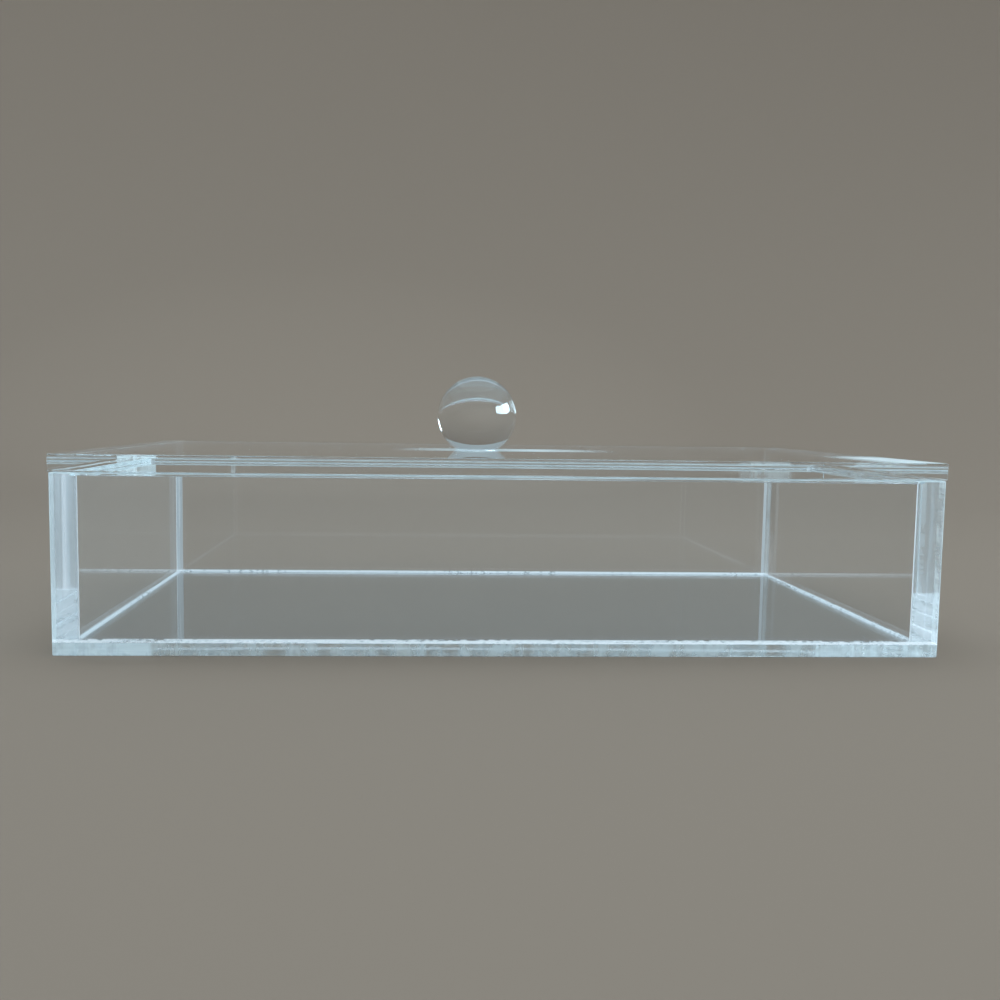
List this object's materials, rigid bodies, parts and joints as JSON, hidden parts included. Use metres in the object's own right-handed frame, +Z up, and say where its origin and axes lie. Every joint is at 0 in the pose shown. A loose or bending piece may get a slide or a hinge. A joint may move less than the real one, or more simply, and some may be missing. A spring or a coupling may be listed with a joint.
{
  "type": "acrylic storage box with lid",
  "caption": "Clear acrylic storage box of cemented sheets, with a rebated lift-off lid and a ball knob to lift it by.",
  "frame": {"origin": "centre of the base plate's underside", "axes": "+X along the box to the right seen from the front, +Y from the front to the back, +Z up"},
  "size_m": [0.2056, 0.1106, 0.0663],
  "materials": {
    "clear_acrylic_sheet": "clear cast acrylic sheet, glossy faces and sawn, flame-polished edges",
    "clear_acrylic_ball": "clear cast acrylic, polished all over",
    "acrylic_cement": "cured clear cement with trapped bubbles, bright where it catches light"
  },
  "bodies": {
    "box": {"base_plate": "clear_acrylic_sheet", "front_wall": "clear_acrylic_sheet", "back_wall": "clear_acrylic_sheet", "left_wall": "clear_acrylic_sheet", "right_wall": "clear_acrylic_sheet", "front_wall_seam": "acrylic_cement", "back_wall_seam": "acrylic_cement", "left_wall_seam": "acrylic_cement", "right_wall_seam": "acrylic_cement", "front_left_corner_seam": "acrylic_cement", "front_right_corner_seam": "acrylic_cement", "back_left_corner_seam": "acrylic_cement", "back_right_corner_seam": "acrylic_cement"},
    "lid": {"lid_plate": "clear_acrylic_sheet", "ball_knob": "clear_acrylic_ball", "knob_seam": "acrylic_cement"}
  },
  "joints": [
    {"name": "lid_lift", "type": "slide", "parent": "box", "child": "lid", "axis": [0, 0, 1], "range_m": [0, 0.09]}
  ]
}
